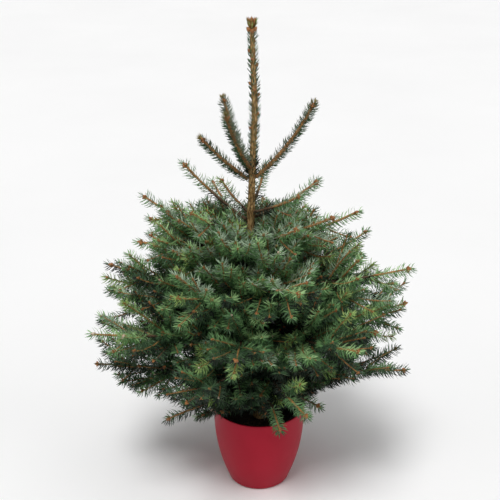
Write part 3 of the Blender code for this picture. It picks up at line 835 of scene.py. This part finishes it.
def needle_row(path, places, ages, rng, length, wide, dense):
    """Needles along a twig: bases, start and end directions, lengths, widths, how far each points
    up, and its way to the tip. None where there would be too few."""
    density = np.interp(ages, np.arange(len(NEEDLES_AT_AGE)), NEEDLES_AT_AGE) * dense
    counts = np.concatenate([[0.0], np.cumsum((density[1:] + density[:-1]) / 2.0 * np.diff(places))])
    number = int(counts[-1])
    if number < FEWEST_NEEDLES:
        return None
    marks = (np.arange(number) + rng.random(number)) * counts[-1] / number
    at = np.interp(marks, counts, places)
    bases = read_at(at, places, path)
    heading = units(read_at(at, places, units(np.gradient(path, axis=0))))
    across = np.cross(UP, heading)
    upright = np.linalg.norm(across, axis=1, keepdims=True) < UPRIGHT
    across = units(np.where(upright, SIDEWAYS, across))
    roll = np.arange(number) * GOLDEN + rng.normal(0.0, NEEDLE_ROLL, number)
    out = towards(across, np.cross(heading, across), roll[:, None])
    lift = np.sin(roll)
    on_top = lift > from_table(BALD_FROM, path[-1][2])
    missing = rng.random(number) < BALD_ABOVE * np.linalg.norm(heading[:, :2], axis=1)
    to_tip = places[-1] - at
    near_tip = np.clip(1.0 - to_tip / TIP_REACH, 0.0, 1.0)
    near_foot = np.clip(1.0 - at / FOOT_REACH, 0.0, 1.0)
    spread = rng.uniform(*NEEDLE_SPREAD, number)
    spread = spread * (1.0 - near_tip) + NEEDLE_TIP_SPREAD * near_tip
    half = NEEDLE_BEND * rng.uniform(*NEEDLE_BENDS, number) / 2.0
    starts = towards(heading, out, np.radians(spread + half)[:, None])
    ends = towards(heading, out, np.radians(spread - half)[:, None])
    lengths = length * rng.uniform(*NEEDLE_LENGTHS, number)
    lengths *= 1.0 - TIP_SHORTER * near_tip - FOOT_SHORTER * near_foot
    widths = NEEDLE_WIDTH * wide * rng.uniform(*NEEDLE_WIDTHS, number)
    kept = ~(on_top & missing)
    return [column[kept] for column in (bases, starts, ends, lengths, widths, lift, to_tip)]


def ages_at(to_tip, seasons):
    """Age in seasons of a twig at some distances to its tip."""
    return np.searchsorted(np.cumsum(seasons), to_tip, side="right")


def shades_of(twigs):
    """How much foliage lies outwards and above of each twig, seen from two thirds along it and ranked
    from 0 for least to 1 for most."""
    foliage = np.concatenate([twig.path[::2] for twig in twigs])
    amounts = []
    for twig in twigs:
        place = twig.path[2 * len(twig.path) // 3]
        outward = unit((place - trunk_centre(place[2])) * (1.0, 1.0, 0.0)) + UP * SHADE_RISE * place[2]
        offsets = foliage - place
        amounts.append(np.sum(offsets @ unit(outward) > SHADE_CONE * np.linalg.norm(offsets, axis=1)))
    return np.argsort(np.argsort(amounts)) / len(twigs)


def colours_of(twig, shade, rng):
    """Colour of a twig's newest needles, drawn by its zone of height and shade: shaded and low twigs draw
    the darker colours more often, as painted shade, and exposed ones the pale light colour, as painted
    light. Also whether the needles round its end bud are fresh.
    """
    height = twig.path[-1][2]
    if twig.key[0] == 1:
        zone = "top whorl"
    elif height > UPPER_CROWN:
        zone = "upper inner" if shade > INNER_SHADE else "upper"
    elif shade > INNER_SHADE:
        zone = "inner"
    else:
        zone = "outer" if shade < OUTER_SHADE else "middle"
        zone = "low " + zone if height < LOWER_CROWN else zone
    draw = rng.random()
    newest = next(colour for colour, share in SPRAY_COLOURS[zone] if draw < share)
    return newest, rng.random() < FRESH_SHARE and shade < INNER_SHADE


def clothe(twig, shade, needles, rng):
    """Adds a twig's needles, newest season in its own colour, a step darker where they point down as
    painted shade, and older ones dark, a near-black that is partly their own darker green and partly
    painted shade.
    """
    path, places = resampled(twig.path, NEEDLE_STEP)
    ages = ages_at(places[-1] - places, twig.seasons)
    on_top = twig.key[0] == 1
    length = NEEDLE_LENGTH * (TOP_LENGTH if on_top else 1.0)
    dense, wide = (INNER_DENSE, INNER_WIDE) if shade > INNER_SHADE else (1.0, 1.0)
    if on_top:
        dense, wide = TOP_DENSE, TOP_WIDE
    elif twig.path[-1][2] > UPPER_CROWN:
        dense *= UPPER_DENSE
    elif shade < OUTER_SHADE:
        dense = OUTER_DENSE
    row = needle_row(path, places, ages, rng, length, wide, dense)
    if row is None:
        return
    *needle, lift, to_tip = row
    newest, fresh = colours_of(twig, shade, rng)
    age = ages_at(to_tip, twig.seasons)
    tip_colour, tip_reach = ("tuft", TUFT_REACH) if on_top else ("fresh", FRESH_REACH)
    tip = (to_tip < tip_reach * np.sqrt(rng.random(len(to_tip)))) & (fresh | on_top)
    young = (age == 0) & ~tip
    # Downward needles of the newest season are painted a step darker, as shade.
    under = lift < UNDERSIDE
    for colour, chosen in ((tip_colour, tip), (newest, young & ~under), (PAINTED_SHADE_STEP[newest], young & under),
                           ("dark", age > 0)):
        if chosen.any():
            needles[colour].append([column[chosen] for column in needle])


def leader_needles(needles):
    """Short needles pressed up along the leader, and a tuft that flares round its end bud."""
    rng = np.random.default_rng(SEED + 11)
    for colour, number, low, high, spread, length, flare in LEADER_NEEDLES:
        heights = np.linspace(low, high, number) + rng.normal(0.0, LEADER_SCATTER[0], number)
        turn = np.arange(number) * GOLDEN + rng.normal(0.0, LEADER_SCATTER[1], number)
        out = np.stack([np.cos(turn), np.sin(turn), np.zeros(number)], -1)
        bases = trunk_centre(heights) + out * (leader_radius(heights) * LEADER_ROOT)[:, None]
        spreads = np.radians(rng.uniform(spread - LEADER_SPREAD, spread + LEADER_SPREAD, number))[:, None]
        starts, ends = towards(UP, out, spreads), towards(UP, out, spreads + flare)
        lengths = length * rng.uniform(*LEADER_LENGTHS, number)
        needles[colour].append((bases, starts, ends, lengths, np.full(number, NEEDLE_WIDTH)))


def leader_radius(height):
    """The trunk's own radius, and above it the leader's, whose buds stand free of it."""
    return np.where(height < LEADER_RADII[0][0], trunk_radius(height), from_table(LEADER_RADII, height))


def across_of(heading):
    """Two directions square to a bud's heading and to each other."""
    guide = unit(np.cross(heading, BUD_GUIDE))
    return guide, np.cross(heading, guide)


def bud(foot, heading, length, radius, sides=BUD_CORNERS):
    """Pointed egg of a bud, with fewer rings where it has fewer sides."""
    levels = BUD_PROFILE if sides >= BUD_CORNERS else BUD_PROFILE[::2]
    out = towards(*across_of(heading), np.arange(sides)[:, None] * (FULL_TURN / sides))
    rings = [foot + heading * length * rise + out * radius * width for rise, width in levels]
    return np.vstack([*rings, foot, foot + heading * length]), closed(len(levels), sides)


def bud_cluster(twig, rng):
    """End bud of a twig with a few smaller ones beside it."""
    foot, heading = on_path(twig.path, 1.0)
    size = BUD_SIZES[min(twig.order, 2)] * (TOP_BUDS if twig.key[0] == 1 else 1.0)
    size *= rng.uniform(*BUD_VARIETY)
    foot = foot - heading * BUD_LENGTH * size
    parts = [bud(foot, heading, BUD_LENGTH * size, BUD_RADIUS * size)]
    across = across_of(heading)
    number = rng.integers(*(SIDE_BUDS_ON_LIMB if twig.order == 0 else SIDE_BUDS))
    turn = rng.uniform(0.0, FULL_TURN)
    for _ in range(number):
        out = towards(*across, turn)
        side_heading = unit(heading + out * rng.uniform(*SIDE_BUD_LEAN))
        side_size = size * rng.uniform(*SIDE_BUD_SIZE)
        side_foot = foot - heading * rng.uniform(0.0, SIDE_BUD_DROP) + out * TIP_RADII[2] * SIDE_BUD_ROOT
        parts.append(bud(side_foot, side_heading, BUD_LENGTH * side_size, BUD_RADIUS * side_size,
                         SIDE_BUD_CORNERS))
        turn += FULL_TURN / number + rng.uniform(-SIDE_BUD_TURN, SIDE_BUD_TURN)
    return parts


def twig_tubes(twig, shade, rng):
    """A twig's tubes, of its older seasons and its newest one, each with whether it takes the bright
    young bark colour. Only the newest season does, and not where foliage shades the twig: there its young
    bark takes the old bark's darker colour, as painted shade."""
    path, places = resampled(twig.path, TWIG_RING)
    to_tip = places[-1] - places
    order = min(twig.order, 2)
    radii = np.minimum(TIP_RADII[order] + RADIUS_GAIN * to_tip, MOST_RADII[order])
    height = twig.path[-1][2]
    if height > UPPER_CROWN:
        radii *= TOP_THICK if twig.key[0] == 1 else UPPER_THICK
    # Young bark stays bright high in the crown and on twigs that little foliage shades, fewer low down;
    # the rest take the old bark colour as painted shade.
    lit_bark = height > UPPER_CROWN or shade < (OUTER_SHADE if height < LOWER_CROWN else INNER_SHADE)
    first = int(np.argmax(ages_at(to_tip, twig.seasons) == 0))
    made = []
    for is_new, part in ((False, slice(0, first + 1)), (True, slice(first, None))):
        stretch = path[part].copy()
        if len(stretch) < 3:
            continue
        if is_new:
            stretch[-1] -= unit(stretch[-1] - stretch[-2]) * BUD_LENGTH * BUD_SUNK
        relief = 1.0 + rng.uniform(-TUBE_RELIEF, TUBE_RELIEF, (len(stretch), TUBE_SIDES[order]))
        made.append((is_new and lit_bark, tube(stretch, radii[part], relief)))
    return made


# The trunk


def waves(turn, height, rng):
    """Smooth noise round the trunk: a sum of waves with seeded phases."""
    total = np.zeros_like(turn)
    for _ in range(SCALE_WAVES):
        around = rng.integers(*SCALE_AROUND)
        along = rng.uniform(*SCALE_RATES)
        total += np.sin(around * turn + along * height + rng.uniform(0.0, FULL_TURN))
    return total / math.sqrt(SCALE_WAVES)


def make_trunk():
    """Trunk and leader: bark with scales low down, and the diamond ridges of needle feet above."""
    rng = np.random.default_rng(SEED + 3)
    rings = int((LEADER_TOP - TRUNK_FOOT) / TRUNK_RING) + 1
    heights = np.linspace(TRUNK_FOOT, LEADER_TOP, rings)
    radii = leader_radius(heights)
    turn = np.arange(TRUNK_CORNERS)[None] * (FULL_TURN / TRUNK_CORNERS)
    turn, height = np.broadcast_arrays(turn, heights[:, None])
    young = np.clip((height - BARK_OLD) / (BARK_YOUNG - BARK_OLD), 0.0, 1.0)
    ridges = np.prod([np.abs(np.cos(around * turn + along * height)) for around, along in RIDGES], axis=0)
    scales = np.maximum(waves(turn, height, rng), SCALE_LOWEST)
    swell = np.zeros_like(height)
    for tier in TIERS:
        swell += WHORL_SWELL * np.exp(-((height - tier.height) / (WHORL_REACH * tier.spread)) ** 2)
    for scar in RING_SCARS:
        for edge in (-RING_APART, RING_APART):
            swell += RING_SWELL * np.exp(-((height - scar - edge) / RING_WIDTH) ** 2)
    rise = young * RIDGE_RISE * (ridges - RIDGE_MIDDLE) + (1.0 - young) * SCALE_RISE * scales + swell
    return mesh_of("trunk_bark", *tube(trunk_centre(heights), radii, 1.0 + rise / radii[:, None]))


def leader_buds():
    """Buds along the leader, and the fan of scales round the bud at its tip."""
    parts = []
    for height, compass in LEADER_BUDS:
        out = compass_way(math.radians(compass))
        foot = trunk_centre(height) + out * leader_radius(height) * LEADER_BUD_ROOT
        size = LEADER_BUD_SIZES[0 if height > LEADER_CLUSTER else 1]
        parts.append(bud(foot, unit(out * LEADER_BUD_LEAN + UP), *(part * size for part in LEADER_BUD)))
    foot = trunk_centre(LEADER_TOP - TIP_BUD_FOOT)
    parts.append(bud(foot, UP, TREE_TOP - foot[2] - TIP_CLEAR, TIP_BUD_RADIUS))
    foot = trunk_centre(LEADER_TOP - SCALE_FOOT)
    for number in range(LEADER_SCALES):
        out = compass_way(number * FULL_TURN / LEADER_SCALES)
        parts.append(bud(foot + out * SCALE_OUT, unit(out * SCALE_LEAN + UP), *SCALE_SIZE))
    return parts


# Pots and soil


def turned(name, outline):
    """Mesh turned round the Z axis from an outline of radius and height, closed on itself."""
    radii, heights = np.array(outline).T[..., None]
    angles = np.arange(POT_CORNERS) * (FULL_TURN / POT_CORNERS)
    points = np.stack(np.broadcast_arrays(radii * np.cos(angles), radii * np.sin(angles), heights), -1)
    starts = np.arange(len(outline))[:, None] * POT_CORNERS
    return mesh_of(name, points.reshape(-1, 3), bands(starts, np.roll(starts, -1, axis=0), POT_CORNERS))


def arc(centre, radius, start, end):
    """Points of an arc in an outline, angles in degrees from outwards to upwards."""
    return [(centre[0] + radius * math.cos(angle), centre[1] + radius * math.sin(angle))
            for angle in np.radians(np.linspace(start, end, ARC_STEPS))]


def pot_side(height):
    depth = 1.0 - height / POT_HEIGHT
    return POT_FOOT_RADIUS + (POT_RADIUS - POT_FOOT_RADIUS) * (1.0 - depth ** POT_SWELL)


def make_pot():
    """Outer pot with a rolled lip, a rounded foot and a slightly hollow underside."""
    lip = POT_WALL / 2.0
    side = [(pot_side(height), height) for height in np.linspace(POT_EDGE, POT_HEIGHT - lip, SIDE_STEPS)]
    rim = arc((POT_RADIUS - lip, POT_HEIGHT - lip), lip, *RIM_ARC)
    inner = [(radius - POT_WALL, height) for radius, height in side[::-INNER_STEP]]
    corner = pot_side(POT_EDGE) - POT_EDGE
    foot = arc((corner, POT_EDGE), POT_EDGE, *FOOT_ARC)
    floor = [(corner - POT_WALL, POT_FLOOR), (AXIS_GAP, POT_FLOOR), (AXIS_GAP, POT_HOLLOW),
             (corner - POT_STAND[0], POT_HOLLOW), (corner - POT_STAND[1], 0.0)]
    return turned("pot_body", foot + side[1:] + rim + inner + floor)


def make_nursery_pot():
    """Black pot inside the outer one, with a rolled lip and fine ribs down its inside."""
    top, low = NURSERY_HIGH.z, NURSERY_LOW.z
    lip_radius = NURSERY_HIGH.x
    lip_low = top - NURSERY_LIP_DEPTH

    def wall(height):
        return NURSERY_FOOT_RADIUS + (NURSERY_RADIUS - NURSERY_FOOT_RADIUS) * (height - low) / (top - low)

    def ribbed(height):
        plain = min(wall(height) - NURSERY_WALL, lip_radius - LIP_INNER[0])
        return plain - RIB_DEPTH * (0.5 + 0.5 * math.cos(height * RIB_RATE))

    outer = [(wall(height), height) for height in np.linspace(low, lip_low, NURSERY_STEPS[0])]
    rim = [(lip_radius - LIP_CHAMFER[0], lip_low), (lip_radius, lip_low + LIP_CHAMFER[1])]
    rim += arc((lip_radius - LIP_ROLL, top - LIP_ROLL), LIP_ROLL, 0.0, 180.0)
    inner_heights = np.linspace(top - LIP_INNER[1], low + NURSERY_WALL, NURSERY_STEPS[1])
    inner = [(ribbed(height), height) for height in inner_heights]
    floor = [(AXIS_GAP, low + NURSERY_WALL), (AXIS_GAP, low)]
    return turned("nursery_pot_body", outer + rim + inner + floor)


def make_soil():
    """Crumbly soil surface down to a little below its edge, with bark chips and grit lying on it."""
    rng = np.random.default_rng(SEED + 21)
    rings, sides = SOIL_GRID
    radius = SOIL_RADIUS - SOIL_INSET
    reaches = np.linspace(SOIL_CENTRE, 1.0, rings) * radius
    reach, angle = np.meshgrid(reaches, np.arange(sides) * (FULL_TURN / sides), indexing="ij")
    x, y = reach * np.cos(angle), reach * np.sin(angle)
    bumps = np.zeros_like(x)
    for _ in range(SOIL_WAVES):
        way = compass_way(rng.uniform(0.0, FULL_TURN))
        rate = rng.uniform(*SOIL_RATES)
        phase = rng.uniform(0.0, SOIL_PHASE)
        bumps += np.sin(rate * (x * way[0] + y * way[1]) + phase) * SOIL_RATES[0] / rate
    drop = SOIL_MEAN_DROP + SOIL_EDGE_DROP * (reach / radius) ** 2
    z = SOIL_TOP - drop + np.clip(bumps * SOIL_BUMP, *SOIL_BUMP_LIMITS)
    surface = np.stack([x, y, z], -1).reshape(-1, 3)
    skirt = surface[-sides:] * (1.0, 1.0, 0.0) + UP * (SOIL_TOP - SOIL_DEPTH)
    points = np.vstack([surface, skirt, UP * (SOIL_TOP - SOIL_MEAN_DROP), UP * (SOIL_TOP - SOIL_DEPTH)])
    parts = [(points, closed(rings + 1, sides)[:, ::-1])]
    for _ in range(SOIL_CHIPS):
        out = compass_way(rng.uniform(0.0, FULL_TURN))
        reach = radius * CHIP_REACH * math.sqrt(rng.uniform(CHIP_NEAREST, 1.0))
        size = rng.uniform(*CHIP_SIZES)
        foot = out * reach + UP * (SOIL_TOP - CHIP_SINK - SOIL_EDGE_DROP * (reach / radius) ** 2)
        heading = unit(np.array((*rng.normal(0.0, 1.0, 2), rng.normal(0.0, CHIP_TILT))))
        parts.append(bud(foot, heading, size * CHIP_SHAPE[0], size * CHIP_SHAPE[1], CHIP_CORNERS))
    return mesh_of("soil_surface", *joined(parts), smooth=False)


# Materials


def new_material(name):
    """Empty node material, its shader, and helpers to add nodes and to join them."""
    made = bpy.data.materials.new(name)
    made.use_nodes = True
    tree = made.node_tree

    def node(kind, **values):
        """New node whose inputs or settings have these values, or are joined to these outputs."""
        thing = tree.nodes.new(kind)
        for key, value in values.items():
            if isinstance(value, bpy.types.NodeSocket):
                tree.links.new(value, thing.inputs[key])
            elif key in thing.inputs:
                thing.inputs[key].default_value = value
            else:
                setattr(thing, key, value)
        return thing

    return made, tree.nodes["Principled BSDF"], node, tree.links.new


def ramp(node, factor, stops):
    """Colour output of a ramp with stops of place and sRGB colour."""
    made = node("ShaderNodeValToRGB", Fac=factor)
    elements = made.color_ramp.elements
    while len(elements) < len(stops):
        elements.new(0.5)
    for element, (place, colour) in zip(elements, stops):
        element.position = place
        element.color = linear(*colour)
    return made.outputs["Color"]


def mottled(name, dark, pale, scale, roughness, bump=None, specular=0.5, detail=3.0):
    """Material whose colour wanders between two colours, with its own fine bump."""
    made, shader, node, link = new_material(name)
    place = node("ShaderNodeTexCoord").outputs["Object"]
    noise = node("ShaderNodeTexNoise", Vector=place, Scale=scale, Detail=detail, Roughness=0.6)
    pattern = noise.outputs["Fac"]
    link(ramp(node, pattern, tuple(zip(MOTTLE, (dark, pale)))), shader.inputs["Base Color"])
    rough = node("ShaderNodeMapRange", Value=pattern)
    rough.inputs["To Min"].default_value = roughness - ROUGHNESS_SWING
    rough.inputs["To Max"].default_value = roughness + ROUGHNESS_SWING
    link(rough.outputs["Result"], shader.inputs["Roughness"])
    shader.inputs["Specular IOR Level"].default_value = specular
    if bump is not None:
        fine_scale, strength, depth = bump
        grain = node("ShaderNodeTexNoise", Vector=place, Scale=fine_scale, Detail=4.0, Roughness=0.65)
        relief = node("ShaderNodeBump", Height=grain.outputs["Fac"], Strength=strength, Distance=depth)
        link(relief.outputs["Normal"], shader.inputs["Normal"])
    return made


def bark_material():
    """Bark of long narrow plates with dark furrows between them."""
    made, shader, node, link = new_material("bark")
    place = node("ShaderNodeTexCoord").outputs["Object"]
    drawn_out = node("ShaderNodeMapping", Vector=place, Scale=BARK_DRAWN_OUT).outputs["Vector"]
    plates = node("ShaderNodeTexVoronoi", Vector=drawn_out, feature="DISTANCE_TO_EDGE", Scale=BARK_PLATES)
    noise = node("ShaderNodeTexNoise", Vector=drawn_out, Scale=BARK_NOISE, Detail=5.0, Roughness=0.65)
    blend = node("ShaderNodeMath", operation="MULTIPLY_ADD")
    link(plates.outputs["Distance"], blend.inputs[0])
    blend.inputs[1].default_value = BARK_PLATE_SHARE
    link(noise.outputs["Fac"], blend.inputs[2])
    height = blend.outputs["Value"]
    relief = node("ShaderNodeBump", Height=height, Strength=0.9, Distance=BARK_RELIEF)
    link(ramp(node, height, BARK_STOPS), shader.inputs["Base Color"])
    link(relief.outputs["Normal"], shader.inputs["Normal"])
    shader.inputs["Roughness"].default_value = BARK_ROUGHNESS
    shader.inputs["Specular IOR Level"].default_value = BARK_SPECULAR
    return made


# Assembly


def nodes_like(word):
    return [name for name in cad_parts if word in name]


def add_needles(needles):
    """One piece for each colour of needles, or several where it has too many triangles."""
    rng = np.random.default_rng(SEED + 31)
    faces = len(NEEDLE_FACES)
    made = []
    for colour in sorted(needles):
        points, triangles = blades(needles[colour], rng)
        count = len(triangles) // faces
        pieces = math.ceil(count / (PIECE_TRIANGLES // faces))
        for number in range(pieces):
            first, last = count * number // pieces, count * (number + 1) // pieces
            corner = NEEDLE_CORNERS * first
            mesh = mesh_of(f"needles_{colour}_{number + 1}", points[corner:NEEDLE_CORNERS * last],
                           triangles[faces * first:faces * last] - corner)
            made.append(piece_of(mesh, colour, "needles"))
    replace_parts(made[0], *nodes_like("_needles_"))


def add_plant():
    """Needles, twigs, buds and bark."""
    rng = np.random.default_rng(SEED + 1)
    twigs = grow()
    needles = defaultdict(list)
    tubes = {True: [], False: []}
    buds = {"buds": leader_buds(), "buds_pale": []}
    for twig, shade in zip(twigs, shades_of(twigs)):
        clothe(twig, shade, needles, rng)
        for is_new, part in twig_tubes(twig, shade, rng):
            tubes[is_new].append(part)
        buds["buds_pale" if rng.random() < PALE_BUDS else "buds"] += bud_cluster(twig, rng)
    leader_needles(needles)
    add_needles(needles)
    piece_of(mesh_of("twigs_new", *joined(tubes[True])), "twig_new", "bark")
    # Limbs and older seasons in old bark, with shaded twigs' newest seasons in the same colour as painted
    # shade
    old = mesh_of("limbs_old_and_shaded_twigs", *joined(tubes[False]))
    piece_of(old, "twig_old_and_shaded", "bark", *nodes_like("_bough_"))
    for kind, parts in buds.items():
        piece_of(mesh_of(kind, *joined(parts)), kind, "bark")
    piece_of(make_trunk(), "bark", "bark", "trunk")


def add_pots():
    piece_of(make_pot(), "pot", "pot", "pot")
    piece_of(make_nursery_pot(), "nursery_pot", "nursery_pot", "nursery_pot")
    piece_of(make_soil(), "soil", "soil", "soil")


def add_floor():
    half = FLOOR_SIZE / 2.0
    points = ((-half, -half, 0.0), (half, -half, 0.0), (half, half, 0.0), (-half, half, 0.0))
    floor = placed("floor", mesh_of("floor", points, ((0, 1, 2), (0, 2, 3)), smooth=False))
    floor.data.materials.append(MATERIALS["floor"])
    floor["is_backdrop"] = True


def add_studio():
    """Even white surroundings with a soft key light from above the viewer's left shoulder."""
    world = bpy.data.worlds.new("studio")
    bpy.context.scene.world = world
    world.use_nodes = True
    background = world.node_tree.nodes["Background"]
    background.inputs["Color"].default_value = (1.0, 1.0, 1.0, 1.0)
    background.inputs["Strength"].default_value = WORLD_STRENGTH
    for name, compass, height, strength, softness in LIGHTS:
        lamp = bpy.data.lights.new(name, "SUN")
        lamp.energy = strength
        lamp.angle = math.radians(softness)
        turned_by = (math.radians(90.0 - height), 0.0, math.radians(compass + 90.0))
        placed(name, lamp).rotation_euler = turned_by


def add_camera():
    """Camera where the photograph was taken from, looking down on the tree."""
    lens = bpy.data.cameras.new("camera")
    lens.sensor_width = SENSOR_WIDTH
    lens.lens = CAMERA_FOCAL * SENSOR_WIDTH / PHOTO_WIDTH
    camera = placed("camera", lens)
    camera.location = CAMERA_PLACE
    camera.rotation_euler = (math.radians(90.0 - CAMERA_PITCH), 0.0, 0.0)
    bpy.context.scene.camera = camera


MATERIALS = {kind: mottled(*look) for kind, look in LOOKS.items()}
MATERIALS["bark"] = bark_material()
bpy.context.scene.view_settings.view_transform = "Standard"
add_plant()
add_pots()
add_floor()
add_studio()
add_camera()
